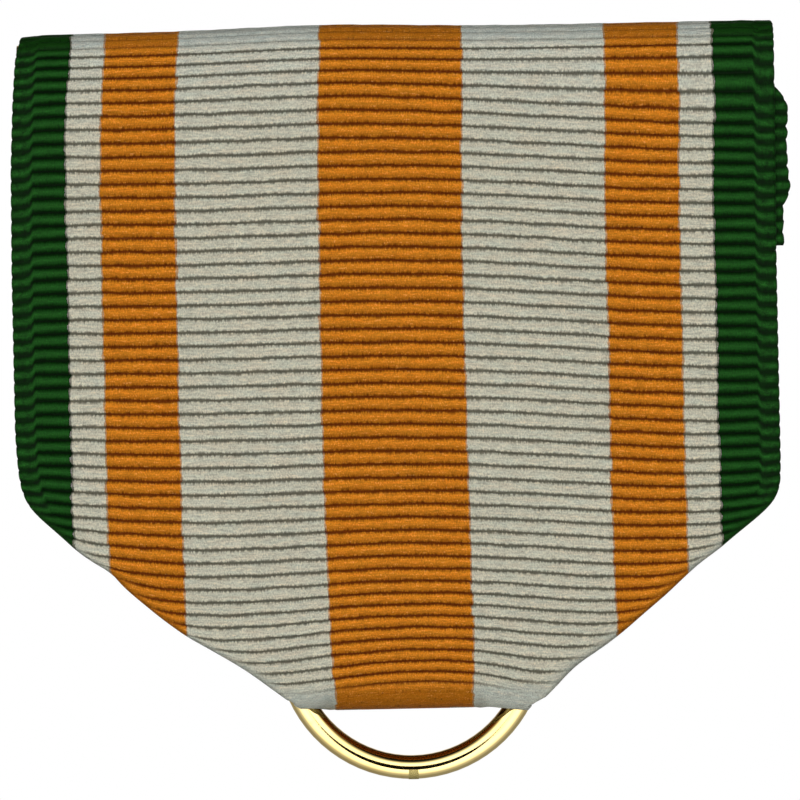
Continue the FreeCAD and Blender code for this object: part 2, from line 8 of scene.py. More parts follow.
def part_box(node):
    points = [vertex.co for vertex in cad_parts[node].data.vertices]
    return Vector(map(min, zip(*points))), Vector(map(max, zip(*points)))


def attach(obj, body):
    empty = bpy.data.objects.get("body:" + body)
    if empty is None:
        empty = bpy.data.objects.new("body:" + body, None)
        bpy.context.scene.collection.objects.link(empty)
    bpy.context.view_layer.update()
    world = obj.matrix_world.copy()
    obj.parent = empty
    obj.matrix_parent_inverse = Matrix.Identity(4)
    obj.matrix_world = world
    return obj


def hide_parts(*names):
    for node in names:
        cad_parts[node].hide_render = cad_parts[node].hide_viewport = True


# The looks of a service-medal ribbon drape: woven ribbon, brooch, ring and thread.
# Lengths in this script are millimetres in the CAD frame; MM turns them into metres.

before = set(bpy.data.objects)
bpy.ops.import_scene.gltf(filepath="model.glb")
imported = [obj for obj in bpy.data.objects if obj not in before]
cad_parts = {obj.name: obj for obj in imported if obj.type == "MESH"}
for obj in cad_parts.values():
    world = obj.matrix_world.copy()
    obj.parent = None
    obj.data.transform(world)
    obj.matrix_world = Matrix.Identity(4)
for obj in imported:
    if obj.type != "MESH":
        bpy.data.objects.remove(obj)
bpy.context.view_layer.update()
MM = 0.001

# ---------------------------------------------------------------- sizes from the frame

ribbon_low, ribbon_high = (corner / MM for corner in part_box("ribbon_drape"))
bar_low, bar_high = (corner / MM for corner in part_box("top_bar"))
ring_low, ring_high = (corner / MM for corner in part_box("suspension_ring"))
FRONT = ribbon_low.y          # outer face of the front ply
BACK = ribbon_high.y          # outer face of the turned-up end
TOP = ribbon_high.z
FOLD = ribbon_low.z
BAR_Y = (bar_low.y + bar_high.y) / 2
BAR_Z = (bar_low.z + bar_high.z) / 2
RING_Y = (ring_low.y + ring_high.y) / 2

PLY = 0.35                    # thickness of the woven ribbon
GAP = 0.05                    # air between two plies
WRAP = TOP - BAR_Z            # outer radius of the turn over the bar
STRAIGHT = BAR_Z - FOLD       # height of the flat front above the bottom fold
TURN = RING_Y - FRONT         # outer radius of the turn through the ring
HALF_WIDTH = 17.45
WRAP_HALF_WIDTH = 16.2        # half-width where the ribbon passes between the ears
NARROW_FROM = 98.0            # angles round the bar between which it narrows to that
NARROW_TO = 132.0
RIB_PITCH = 0.605
RIB_HEIGHT = 0.19
RIB_MEAN = 0.62               # level of a rib's profile that lies in the ribbon's face
FIRST_GROOVE = 1.26           # height of the lowest groove above the fold
SELVAGE = 0.92                # width of the woven edge, whose ribs are set off by half
JOIN_ANGLE = 225.0            # where the front piece meets the tail piece, round the bar
SLANT = math.radians(39)      # slope of the turned corners
SLANT_TOP = (8.7, 10.2)       # heights between which the slanted folds end
FLAP_TOP = 9.35               # height up to which a corner is turned
FLAP_END = -3.8               # height of the cut end of the unfolded corner
EDGE_ROLL = 0.13              # radius of the rounded woven edge
FOLD_ROLL = 0.36              # radius of a slanted fold


# ---------------------------------------------------------------- small mathematics

def smooth_step(low, high, value):
    """0 below low, 1 above high, smooth between."""
    t = np.clip((value - low) / (high - low), 0.0, 1.0)
    return t * t * (3 - 2 * t)


def bump(value, middle, width):
    """A smooth bump of height 1."""
    return np.exp(-((value - middle) / width) ** 2)


def wander(seed, value, wavelength):
    """Smooth wobble between about -1 and 1 along one coordinate, the same on every run."""
    phases = np.random.default_rng(seed).uniform(0, 2 * math.pi, 5)
    total = np.zeros_like(np.asarray(value, float))
    for step, phase in enumerate(phases):
        scale = wavelength / (1 + 0.63 * step)
        total = total + np.sin(2 * math.pi * value / scale + phase) / (1 + 0.5 * step)
    return total / 2.2


def rib_profile(phase):
    """Cross-section of one rib: 0 in the groove, 1 at the crest."""
    across = np.abs(2 * (phase % 1.0) - 1)
    return (1 - across ** 2.1) ** 0.62


def mix(first, second, share):
    """first where share is 0, second where share is 1."""
    return first + (second - first) * share


def rounding(reach, roll):
    """Depth of a rounded edge of radius roll; reach is 0 where it starts and 1 at its rim."""
    return roll * (1 - np.sqrt(1 - reach ** 2))


# ---------------------------------------------------------------- outline of the front

LEFT_EDGE = (
    # height above the fold, reach left of the centreline
    (-1.0, 5.03), (0.1, 5.05), (0.5, 5.29), (1.0, 5.99), (1.5, 6.64), (2.0, 7.33), (2.5, 8.14),
    (3.0, 8.98), (3.5, 9.85), (4.0, 10.53), (4.5, 11.17), (5.0, 11.75), (5.5, 12.34),
    (6.0, 12.85), (6.5, 13.25), (7.0, 14.09), (7.5, 14.78), (8.0, 15.30), (8.5, 15.84),
    (9.0, 16.40), (9.6, 16.93), (10.3, 17.23), (11.0, 17.36), (12.0, 17.44), (13.0, 17.49),
    (20.0, 17.50), (25.0, 17.44), (28.0, 17.30), (30.0, 17.15), (31.0, 16.96), (40.0, 16.96),
)
RIGHT_EDGE = (
    # height above the fold, reach right of the centreline
    (-1.0, 5.70), (0.0, 5.74), (0.25, 6.02), (0.5, 6.41), (0.75, 6.79), (1.0, 7.03),
    (1.5, 7.50), (2.0, 8.08), (2.5, 8.88), (3.0, 9.60), (3.5, 10.25), (4.0, 10.83),
    (5.0, 12.05), (6.0, 13.14), (6.5, 13.74),
    (7.0, 14.48), (7.5, 15.08), (8.0, 15.72), (8.5, 16.36), (9.0, 16.90), (9.3, 17.10),
    (9.6, 17.24), (10.0, 17.33), (11.0, 17.37), (20.0, 17.37), (28.5, 17.45), (40.0, 17.45),
)


def edge_reach(table, height):
    """Reach of one edge at a height, with the corners of the table softened."""
    heights, reaches = np.array(table).T
    return sum(np.interp(height + step, heights, reaches) for step in (-0.2, 0, 0.2)) / 3


def left_edge(height):
    """How far the ribbon reaches left of its centreline, at a height above the fold."""
    return edge_reach(LEFT_EDGE, height)


def right_edge(height):
    """How far the ribbon reaches right of its centreline."""
    return edge_reach(RIGHT_EDGE, height)


RIB_BOW = (
    # coefficients of across (rows, in 17 mm) and level (columns, in 14 mm, from 14 mm up)
    (0.0, 0.0, 0.0, 0.0),
    (-0.324, -0.193, 0.442, -0.366),
    (-1.176, 0.004, -3.021, 3.382),
    (-0.698, 0.493, -0.737, 0.666),
    (1.302, -0.330, 8.087, -8.638),
    (0.572, -0.241, 0.565, -0.680),
    (-0.432, -0.249, -4.355, 5.060),
)


def rib_rise(across, level, left, right):
    """How far a rib stands above its own level, for a row that spans -left to right."""
    bow = np.polynomial.polynomial.polyval2d(*np.broadcast_arrays(
        across / 17, np.clip(level, 1.0, 27.0) / 14 - 1), RIB_BOW) * smooth_step(-0.8, 1.0, level)
    uneven = 0.018 * wander(12, across - 0.8 * level, 6.0)
    uneven = uneven + 0.02 * wander(13, across + 2.9 * level, 3.4)
    uneven = uneven * smooth_step(0.5, 3.0, level)
    inset_left = np.maximum(left + across, 0)
    inset_right = np.maximum(right - across, 0)
    lift = np.exp(-(inset_left / 1.0) ** 1.4) + np.exp(-(inset_right / 1.0) ** 1.4)
    low_part = (1 - smooth_step(7.5, 13.0, level)) * smooth_step(0.15, 1.7, level)
    droop = 0.26 * smooth_step(3.2, 6.6, across) * (1 - smooth_step(1.6, 3.6, level))
    droop = droop * smooth_step(-0.8, 1.0, level)
    return bow + uneven - droop + 0.22 * lift * low_part


def crown(across):
    """How far the top edge of the ribbon bows up over the bar."""
    return 0.08 + 0.19 * bump(across, -3.0, 5.2) - 0.1 * smooth_step(15.6, 17.3, -across)


def cloth_across(across, height):
    """Distance from the middle warp thread of a point of the front, for its stripes."""
    drift = -0.19 * smooth_step(-1, 12, height) + 0.2 * smooth_step(24, 31.5, height)
    gather = 1 - 0.045 * (1 - smooth_step(0, 3.5, height)) - 0.01 * smooth_step(27, 31, height)
    return (across - drift) / gather


# ---------------------------------------------------------------- mesh building

EDGE_STEPS = np.array([0.0, 0.05, 0.12, 0.21, 0.32, 0.46, 0.64, 0.84, 1.0, 1.42])
RIB_SAMPLES = (0.0, 0.07, 0.17, 0.33, 0.5, 0.67, 0.83, 0.93)
COARSE_SAMPLES = (0.0, 0.1, 0.3, 0.5, 0.7, 0.9)


def columns_between(left, right, middle_count):
    """Rows of column places from left to right (arrays), closer together at both edges."""
    margin = np.minimum(EDGE_STEPS[-1], (right - left) / 2.6)[:, None]
    steps = EDGE_STEPS[None, :] / EDGE_STEPS[-1] * margin
    inner_left = left[:, None] + margin
    inner_right = right[:, None] - margin
    shares = np.linspace(0, 1, middle_count)[None, 1:-1]
    inner = inner_left + (inner_right - inner_left) * shares
    return np.concatenate([left[:, None] + steps, inner, right[:, None] - steps[:, ::-1]], 1)


def rib_rows(start, stop, pitch_at, samples=RIB_SAMPLES):
    """Row levels from start to stop that follow the ribs, and the rib number of each."""
    levels = []
    numbers = []
    level = start
    count = 0
    while level < stop:
        pitch = pitch_at(level)
        for sample in samples:
            if level + sample * pitch <= stop:
                levels.append(level + sample * pitch)
                numbers.append(count + sample)
        level += pitch
        count += 1
    return np.array(levels), np.array(numbers)


def closed_sheet(name, outer, inner, cloth_outer, cloth_inner):
    """A closed mesh from two grids of points (x, y, z in millimetres), with smooth faces.

    The cloth grids hold millimetres across the ribbon, rib number, and how far the
    ribs lie flat, by which the material also paints shade; the material reads them as the
    attribute "cloth".
    """
    rows, columns = outer.shape[:2]
    points = np.concatenate([outer.reshape(-1, 3), inner.reshape(-1, 3)]) * MM
    index = np.arange(rows * columns).reshape(rows, columns)
    corners = [index[:-1, :-1], index[:-1, 1:], index[1:, 1:], index[1:, :-1]]
    outer_faces = np.stack([corner.ravel() for corner in corners], 1)
    inner_faces = outer_faces[:, ::-1] + rows * columns
    rim = np.concatenate([index[0], index[1:, -1], index[-1, -2::-1], index[-2:0:-1, 0]])
    following = np.roll(rim, -1)
    rim_faces = np.stack([following, rim, rim + rows * columns, following + rows * columns], 1)
    faces = np.concatenate([outer_faces, inner_faces, rim_faces])
    mesh = bpy.data.meshes.new(name)
    mesh.from_pydata(points.tolist(), [], faces.tolist())
    mesh.update()
    mesh.polygons.foreach_set("use_smooth", np.ones(len(faces), bool))
    if signed_volume(points, faces) < 0:
        mesh.flip_normals()
    cloth = mesh.attributes.new("cloth", "FLOAT_VECTOR", "POINT")
    values = np.concatenate([cloth_outer.reshape(-1, 3), cloth_inner.reshape(-1, 3)])
    cloth.data.foreach_set("vector", values.astype(np.float32).ravel())
    piece = bpy.data.objects.new(name, mesh)
    bpy.context.scene.collection.objects.link(piece)
    return piece


def signed_volume(points, faces):
    """Six times the volume the faces enclose; negative when they point inwards."""
    a, b, c, d = (points[faces[:, corner]] for corner in range(4))
    return float(np.sum(np.cross(a, b) * c) + np.sum(np.cross(a, c) * d))


def grid(*layers):
    """Stack layers that may be numbers, columns or whole grids into one grid of triples."""
    return np.stack(np.broadcast_arrays(*layers), -1).astype(float)


# ---------------------------------------------------------------- ribbon: front

RIB_SPACING = (
    # height above the fold, distance from one groove to the next
    (1.3, 0.470), (2.2, 0.515), (5.0, 0.525), (6.0, 0.570), (7.5, 0.590), (10.0, 0.605),
    (14.5, 0.622), (21.0, 0.622), (24.0, 0.610), (27.0, 0.595), (28.5, 0.560), (29.4, 0.490),
    (30.1, 0.400), (31.0, 0.500), (32.0, 0.600),
)


def front_pitch(height):
    """Spacing of the ribs on the front at a height above the fold."""
    heights, spacings = np.array(RIB_SPACING).T
    return float(np.interp(height, heights, spacings))


def front_levels():
    """Row levels and rib numbers of the front, from under the fold to behind the bar."""
    lowest = TURN - TURN * math.pi / 2
    low_levels = np.arange(lowest, FIRST_GROOVE - 0.01, 0.16)
    low_numbers = (low_levels - FIRST_GROOVE) / 0.5
    highest = STRAIGHT + math.radians(JOIN_ANGLE) * WRAP
    levels, numbers = rib_rows(FIRST_GROOVE, highest, front_pitch)
    return np.concatenate([low_levels, levels]), np.concatenate([low_numbers, numbers])


def front_section(height, across):
    """Place (y, z) and outward normal of the front's outer face in the YZ plane.

    Round the ring the cloth turns under by a quarter; beside it, it curls less and tighter.
    """
    lowest = TURN - TURN * math.pi / 2
    beside_radius, beside_angle = 0.55, 52
    corner = smooth_step(3.2, 4.0, np.abs(across))
    radius = mix(TURN, beside_radius, corner)
    limit = np.radians(mix(90, beside_angle, corner))
    below = np.clip((radius - height) / (radius - lowest), 0, 1) * limit
    above = np.maximum(height - STRAIGHT, 0) / WRAP
    flat = (height >= radius) & (height <= STRAIGHT)
    low = height < radius
    y = np.where(flat, FRONT, BAR_Y - WRAP * np.cos(above))
    z = np.where(flat, FOLD + height, BAR_Z + WRAP * np.sin(above))
    y = np.where(low, FRONT + radius * (1 - np.cos(below)), y)
    z = np.where(low, FOLD + radius * (1 - np.sin(below)), z)
    angle = np.where(low, -below, above)
    return y, z, -np.cos(angle), np.sin(angle)


def edge_places(levels):
    """Left and right ends of each row, and the heights at which the rows reach them."""
    left_height = levels.copy()
    right_height = levels.copy()
    for _ in range(12):
        left = left_edge(left_height)
        right = right_edge(right_height)
        left_height = levels + rib_rise(-left, levels, left, right)
        right_height = levels + rib_rise(right, levels, left, right)
    return left, right, left_height, right_height


def make_front():
    """Front ply with its turn over the bar and the top of its turn through the ring."""
    levels, numbers = front_levels()
    left, right, _, _ = edge_places(levels)
    low = np.clip(-levels, 0, 1)
    left = np.where(levels < 0, left_edge(0.0) - 0.3 * low, left)
    right = np.where(levels < 0, right_edge(0.0) - 0.15 * low, right)
    start = STRAIGHT + WRAP * math.radians(NARROW_FROM)
    stop = STRAIGHT + WRAP * math.radians(NARROW_TO)
    narrow = smooth_step(start, stop, levels)
    left = mix(left, WRAP_HALF_WIDTH, narrow)
    right = mix(right, WRAP_HALF_WIDTH, narrow)
    across = columns_between(-left, right, 74)
    inset = np.minimum(across + left[:, None], right[:, None] - across)
    level = levels[:, None]
    number = numbers[:, None]
    rise = rib_rise(across, level, left[:, None], right[:, None])
    height = level + rise * (1 - smooth_step(STRAIGHT - 2.5, STRAIGHT, level))
    y, z, normal_y, normal_z = front_section(height, across)
    behind = smooth_step(STRAIGHT + 1.9, STRAIGHT + 3.4, height)
    z = z + crown(across) * smooth_step(STRAIGHT - 6, STRAIGHT, height) * (1 - behind)
    z = z - 0.27 * smooth_step(2.8, 5.9, across) * (1 - smooth_step(0.0, 0.9, height))

    slanted = 1 - smooth_step(*SLANT_TOP, height)
    near_fold = slanted * np.exp(-(inset * math.sin(SLANT) / FOLD_ROLL) ** 2)
    # how far the ribs lie flat, at the bottom fold, along the slanted folds and over the bar; the
    # material also paints shade there by this amount
    pressed_and_shade = np.maximum(1 - smooth_step(0.65, 1.35, height), 0.85 * near_fold)
    over_bar = smooth_step(STRAIGHT, STRAIGHT + 0.62, height)
    over_bar = over_bar * (1 - smooth_step(STRAIGHT + 3, STRAIGHT + 4, height))
    pressed_and_shade = np.maximum(pressed_and_shade, 0.8 * over_bar)
    in_selvage = (1 - smooth_step(SELVAGE - 0.12, SELVAGE + 0.02, inset)) * (1 - slanted)
    relief = mix(rib_profile(number), rib_profile(number + 0.5), in_selvage)
    lift = RIB_HEIGHT * (relief - RIB_MEAN) * (1 - 0.93 * pressed_and_shade) * (1 - 0.35 * in_selvage)
    lift = lift - 0.035 * bump(inset, SELVAGE, 0.09) * (1 - slanted)
    lift = lift + 0.014 * wander(41, across + 7 * np.floor(number), 2.3)

    rolled = slanted * smooth_step(0.1, 1.3, height)
    roll = mix(EDGE_ROLL, FOLD_ROLL, rolled)
    reach = np.clip(1 - inset * mix(1, math.sin(SLANT), rolled) / roll, 0, 1)
    depth = rounding(reach, roll)
    lift = lift * (1 - 0.8 * reach)
    swell = reach ** 2 * 0.035 * (relief - 0.6) * np.sign(across) * (1 - slanted)
    inner_lift = RIB_HEIGHT * 0.7 * (rib_profile(number + 0.5) - RIB_MEAN) * (1 - pressed_and_shade)
    inner_depth = PLY - depth * (1 - rolled) + 0.02 * reach * rolled
    inner_depth = inner_depth + inner_lift * (1 - reach)

    outer = grid(across + swell, y - normal_y * (depth - lift), z - normal_z * (depth - lift))
    inner = grid(across + swell, y - normal_y * inner_depth, z - normal_z * inner_depth)
    strip = cloth_across(across, height)
    cloth_outer = grid(strip, number + 0.5 * in_selvage, pressed_and_shade)
    cloth_inner = grid(strip, number + 0.5, pressed_and_shade)
    return closed_sheet("ribbon_front", outer, inner, cloth_outer, cloth_inner)


# ---------------------------------------------------------------- ribbon: turned corners

def make_flap(name, side):
    """One bottom corner turned to the back along the slanted fold.

    The corner is laid out flat and then mirrored in the fold, so its ribs and
    stripes carry on from the front.
    """
    levels, numbers = front_levels()
    _, _, left_height, right_height = edge_places(levels)
    edge_height = right_height if side > 0 else left_height
    edge_of = right_edge if side > 0 else left_edge
    keep = (levels > 0.3) & (edge_height < FLAP_TOP)
    heights = edge_height[keep]
    numbers = numbers[keep]
    extra_levels, extra_numbers = rib_rows(0.0, heights[0] - FLAP_END - 0.05,
                                           lambda level: RIB_PITCH, COARSE_SAMPLES)
    heights = np.concatenate([(heights[0] - 0.05 - extra_levels)[::-1], heights])
    numbers = np.concatenate([(numbers[0] - 0.08 - extra_numbers)[::-1], numbers])
    fold_place = np.where(heights > 0.2, edge_of(np.maximum(heights, 0.2)),
                          edge_of(0.2) + 1.25 * (heights - 0.2))
    first = np.maximum(0, (1.5 - heights) / math.sin(2 * SLANT))
    last = HALF_WIDTH - 0.02 - fold_place
    good = last - first > 0.15
    heights, numbers, fold_place = heights[good], numbers[good], fold_place[good]
    first, last = first[good], last[good]
    along = columns_between(first, last, 52)
    height = heights[:, None]
    number = numbers[:, None]
    x = side * (fold_place[:, None] + along * math.cos(2 * SLANT))
    z = FOLD + height + along * math.sin(2 * SLANT)
    lay = FRONT + 2 * PLY + GAP
    at_fold = np.where(first > 0, 0, 1)[:, None]
    reach = np.clip(1 - along * math.sin(SLANT) / FOLD_ROLL, 0, 1) * at_fold
    depth = rounding(reach, FOLD_ROLL)
    from_selvage = last[:, None] - along
    selvage_reach = np.clip(1 - from_selvage / EDGE_ROLL, 0, 1)
    selvage_depth = rounding(selvage_reach, EDGE_ROLL)
    in_selvage = 1 - smooth_step(SELVAGE - 0.09, SELVAGE, from_selvage)
    relief = mix(rib_profile(number), rib_profile(number + 0.5), in_selvage)
    lift = 0.7 * RIB_HEIGHT * (relief - 0.9) * (1 - 0.8 * reach) * (1 - selvage_reach)
    y = lay - depth - selvage_depth + lift
    inner_y = np.minimum(lay - PLY + selvage_depth, y - 0.02)
    strip = side * (fold_place[:, None] + along)
    outer = grid(x, y, z)
    inner = grid(x, inner_y, z)
    cloth = grid(strip, number + 0.5 * in_selvage, 0.0)
    return closed_sheet(name, outer, inner, cloth, cloth)


# ---------------------------------------------------------------- ribbon: turned-up end

def path_from(points):
    """A smooth path along (y, z) points: its places and their running length."""
    corners = np.array(points, float)
    for _ in range(3):
        first = mix(corners[:-1], corners[1:], 0.25)
        second = mix(corners[:-1], corners[1:], 0.75)
        cut = np.stack([first, second], 1).reshape(-1, 2)
        corners = np.concatenate([corners[:1], cut, corners[-1:]])
    gaps = np.linalg.norm(np.diff(corners, axis=0), axis=1)
    length = np.concatenate([[0], np.cumsum(gaps)])
    return corners, length


def sweep_section(path, length, at):
    """Place and right-hand normal of the path at the running lengths in at."""
    y = np.interp(at, length, path[:, 0])
    z = np.interp(at, length, path[:, 1])
    step = 0.04
    dy = np.interp(at + step, length, path[:, 0]) - np.interp(at - step, length, path[:, 0])
    dz = np.interp(at + step, length, path[:, 1]) - np.interp(at - step, length, path[:, 1])
    size = np.hypot(dy, dz)
    return y, z, dz / size, -dy / size


def make_turnup():
    """Narrowed end of the ribbon behind the ring, spreading to its sewn edge."""
    centre_z = FOLD + TURN
    arc = [(RING_Y + TURN * math.sin(a), centre_z - TURN * math.cos(a))
           for a in np.radians(np.arange(0, 91, 7.5))]
    third = FRONT + 3 * PLY + 2 * GAP
    rest = [(BACK, FOLD + 3.0), (BACK, FOLD + 6.0), (BACK, FOLD + 8.9), (third, FOLD + 10.9),
            (third, FOLD + 12.0)]
    path, length = path_from(arc + rest)
    levels, numbers = rib_rows(0.0, length[-1], lambda level: RIB_PITCH)
    y, z, normal_y, normal_z = (part[:, None] for part in sweep_section(path, length, levels))
    up = z[:, 0] - FOLD
    half = 3.3 + 0.4 * smooth_step(0.5, 3.4, up) + 3.8 * smooth_step(2.8, 9.6, up)
    across = columns_between(-half, half, 44)
    inset = half[:, None] - np.abs(across)
    number = numbers[:, None]
    level = levels[:, None]
    relief = rib_profile(number)
    gather = (1 - smooth_step(2.5, 9.0, level)) * smooth_step(0.0, 2.2, level)
    pleats = 0.13 * gather * np.cos(across * 3.1 + 0.7) + 0.05 * gather * np.cos(across * 7.3)
    roll = 0.15
    reach = np.clip(1 - inset / roll, 0, 1)
    depth = rounding(reach, roll)
    lift = RIB_HEIGHT * (relief - RIB_MEAN) * (1 - 0.8 * reach) - depth - np.abs(pleats) * 0.4
    outer = grid(across, y + normal_y * lift, z + normal_z * lift)
    inner_depth = PLY - depth
    inner = grid(across, y - normal_y * inner_depth, z - normal_z * inner_depth)
    spread = mix(1.62, 1.12, smooth_step(0.5, 9.5, up))[:, None]
    bend = 1 - 0.25 * gather
    # the third channel marks the gathered pleats, which the material paints darker as painted
    # shade
    cloth = grid(across * spread * bend, -number - 1.0, 0.3 * gather)
    return closed_sheet("ribbon_turned_up_end", outer, inner, cloth, cloth)


# ---------------------------------------------------------------- ribbon: hidden tail

def make_tail():
    """Tail that comes forward under the bar and hangs behind the front."""
    middle = WRAP - PLY / 2
    start = math.radians(JOIN_ANGLE)
    arc = [(BAR_Y - middle * math.cos(a), BAR_Z + middle * math.sin(a))
           for a in np.linspace(start, math.radians(268), 8)]
    lay = FRONT + PLY + GAP + PLY / 2
    low = BAR_Z - middle
    down = [(BAR_Y - 0.1, low), (lay + 0.02, low - 0.02), (lay, low - 0.45), (lay, low - 2),
            (lay, TOP - 10.3)]
    path, length = path_from(arc + down)
    levels, numbers = rib_rows(0.0, length[-1], lambda level: RIB_PITCH, COARSE_SAMPLES)
    y, z, normal_y, normal_z = (part[:, None] for part in sweep_section(path, length, levels))
    below = TOP - z[:, 0]
    left = mix(WRAP_HALF_WIDTH, 16.6, smooth_step(2.4, 4.0, below))
    right = mix(WRAP_HALF_WIDTH, 17.98, smooth_step(0.9, 4.0, below))
    right = right + 0.09 * bump(below, 4.2, 0.4) + 0.09 * bump(below, 7.4, 0.55)
    right = right - 0.24 * smooth_step(7.9, 8.6, below)
    right = right + 0.035 * wander(70, below, 1.3)
    across = columns_between(-left, right, 60)
    inset = np.minimum(across + left[:, None], right[:, None] - across)
    number = numbers[:, None]
    in_selvage = 1 - smooth_step(SELVAGE - 0.09, SELVAGE, inset)
    relief = mix(rib_profile(number), rib_profile(number + 0.5), in_selvage)
    reach = np.clip(1 - inset / EDGE_ROLL, 0, 1)
    half = PLY / 2 - rounding(reach, EDGE_ROLL)
    lift = 0.7 * RIB_HEIGHT * (relief - 0.75) * (1 - reach)
    swell = 0.05 * (relief - 0.5) * reach * np.sign(across)
    outer = grid(across + swell, y - normal_y * (half + lift), z - normal_z * (half + lift))
    inner = grid(across + swell, y + normal_y * (half + lift), z + normal_z * (half + lift))
    cloth = grid(-(across - 0.6), number + 0.5 * in_selvage, 0.0)
    return closed_sheet("ribbon_tail", outer, inner, cloth, cloth)


# ---------------------------------------------------------------- material building

class Nodes:
    """Short way to build a node tree: each call makes one node and links its inputs."""

    def __init__(self, owner):
        """owner is the new material or world that the tree belongs to."""
        owner.use_nodes = True
        self.owner = owner
        self.tree = owner.node_tree
        self.tree.nodes.clear()

    def make(self, kind, inputs=None, **settings):
        node = self.tree.nodes.new(kind)
        for key, value in settings.items():
            setattr(node, key, value)
        for key, value in (inputs or {}).items():
            self.connect(node.inputs[key], value)
        return node

    def connect(self, socket, value):
        if isinstance(value, bpy.types.NodeSocket):
            self.tree.links.new(value, socket)
        elif isinstance(value, bpy.types.Node):
            self.tree.links.new(value.outputs[0], socket)
        else:
            socket.default_value = value

    def math(self, operation, first, second=0.0, clamp=False):
        node = self.make("ShaderNodeMath", {0: first, 1: second}, operation=operation)
        node.use_clamp = clamp
        return node.outputs[0]

    def flip(self, value):
        """1 minus the value."""
        return self.math("SUBTRACT", 1.0, value)

    def band(self, value, low, high, smooth=True):
        """0 below low to 1 above high."""
        kind = "SMOOTHSTEP" if smooth else "LINEAR"
        node = self.make("ShaderNodeMapRange", {0: value, 1: low, 2: high, 3: 0.0, 4: 1.0},
                         interpolation_type=kind)
        return node.outputs[0]

    def spread(self, value, low, high):
        """Map 0..1 to low..high."""
        node = self.make("ShaderNodeMapRange", {0: value, 1: 0.0, 2: 1.0, 3: low, 4: high})
        return node.outputs[0]

    def join(self, x, y, z=0.0):
        return self.make("ShaderNodeCombineXYZ", {0: x, 1: y, 2: z}).outputs[0]

    def noise(self, vector, scale, detail=2.0, rough=0.5):
        node = self.make("ShaderNodeTexNoise",
                         {"Vector": vector, "Scale": scale, "Detail": detail, "Roughness": rough})
        return node.outputs[0]

    def blend(self, share, first, second, mode="MIX"):
        node = self.make("ShaderNodeMix", data_type="RGBA", blend_type=mode)
        self.connect(node.inputs[0], share)
        self.connect(node.inputs[6], first)
        self.connect(node.inputs[7], second)
        return node.outputs[2]

    def times(self, first, second):
        """One colour multiplied by another."""
        return self.blend(1.0, first, second, "MULTIPLY")

    def bump(self, height, strength, depth, normal=None):
        """Bumpy normal, with bumps of a depth in metres on the mesh's or a given normal."""
        inputs = {"Strength": strength, "Distance": depth, "Height": height}
        if normal is not None:
            inputs["Normal"] = normal
        return self.make("ShaderNodeBump", inputs).outputs[0]

    def vector(self, operation, first, second=None):
        """One step of vector arithmetic; SCALE takes a number as its second value."""
        node = self.make("ShaderNodeVectorMath", {0: first}, operation=operation)
        if second is not None:
            self.connect(node.inputs["Scale" if operation == "SCALE" else 1], second)
        number = operation in ("LENGTH", "DOT_PRODUCT")
        return node.outputs["Value" if number else "Vector"]

    def grey(self, value):
        """A colour with the same value in all three channels."""
        return self.make("ShaderNodeCombineColor", {0: value, 1: value, 2: value}).outputs[0]

    def finish(self, inputs):
        """Close a material with a principled shader that has these inputs."""
        shader = self.make("ShaderNodeBsdfPrincipled", inputs)
        return self.close(shader)

    def close(self, shader):
        """Close a material with this shader node."""
        self.make("ShaderNodeOutputMaterial", {0: shader.outputs[0]})
        return self.owner


def new_material(name):
    """Node builder of a new material."""
    return Nodes(bpy.data.materials.new(name))


def colour(red, green, blue):
    """Linear colour from everyday 0-255 values."""
    values = []
    for part in (red, green, blue):
        share = part / 255
        values.append(share / 12.92 if share <= 0.04045 else ((share + 0.055) / 1.055) ** 2.4)
    return (*values, 1.0)


RAMP_SPAN = 18.0              # distance from the middle that a stripe ramp covers
ORANGE = colour(203, 124, 28)
WHITE = colour(205, 203, 186)
GREEN = colour(18, 63, 14)
FRINGE = colour(186, 146, 108)
STRIPES = (
    # distance from the middle where each colour starts, in millimetres
    (0.0, ORANGE), (3.21, FRINGE), (3.27, WHITE), (9.71, FRINGE), (9.78, ORANGE),
    (13.09, FRINGE), (13.16, WHITE), (14.70, GREEN),
)
# painted shade colours of the grooves between the ribs
GROOVE_SHADE_ORANGE = colour(76, 4, 0)
GROOVE_SHADE_WHITE = colour(54, 52, 38)
GROOVE_SHADE_GREEN = colour(1, 17, 1)
GROOVE_SHADES = (
    # distance from the middle where each painted groove shade starts
    (0.0, GROOVE_SHADE_ORANGE), (3.25, GROOVE_SHADE_WHITE), (9.74, GROOVE_SHADE_ORANGE), (13.12, GROOVE_SHADE_WHITE),
    (14.68, GROOVE_SHADE_GREEN),
)
NONE = (0.0, 0.0, 0.0, 1.0)
FULL = (1.0, 1.0, 1.0, 1.0)
IS_WHITE = ((0.0, NONE), (3.25, FULL), (9.74, NONE), (13.12, FULL), (14.69, NONE))


def stripe_ramp(nodes, place, stripes):
    """Colour of a warp thread from its distance from the middle of the ribbon.

    Cycles keeps a ramp as 256 steps, so a border lies on the next multiple of 0.0706 mm.
    """
    share = nodes.math("DIVIDE", place, RAMP_SPAN)
    node = nodes.make("ShaderNodeValToRGB", {0: share})
    ramp = node.color_ramp
    ramp.interpolation = "CONSTANT"
    ramp.elements[0].position = 0.0
    ramp.elements[0].color = stripes[0][1]
    ramp.elements[1].position = stripes[1][0] / RAMP_SPAN
    ramp.elements[1].color = stripes[1][1]
    for start, shade in stripes[2:]:
        element = ramp.elements.new(start / RAMP_SPAN)
        element.color = shade
    return node.outputs[0]


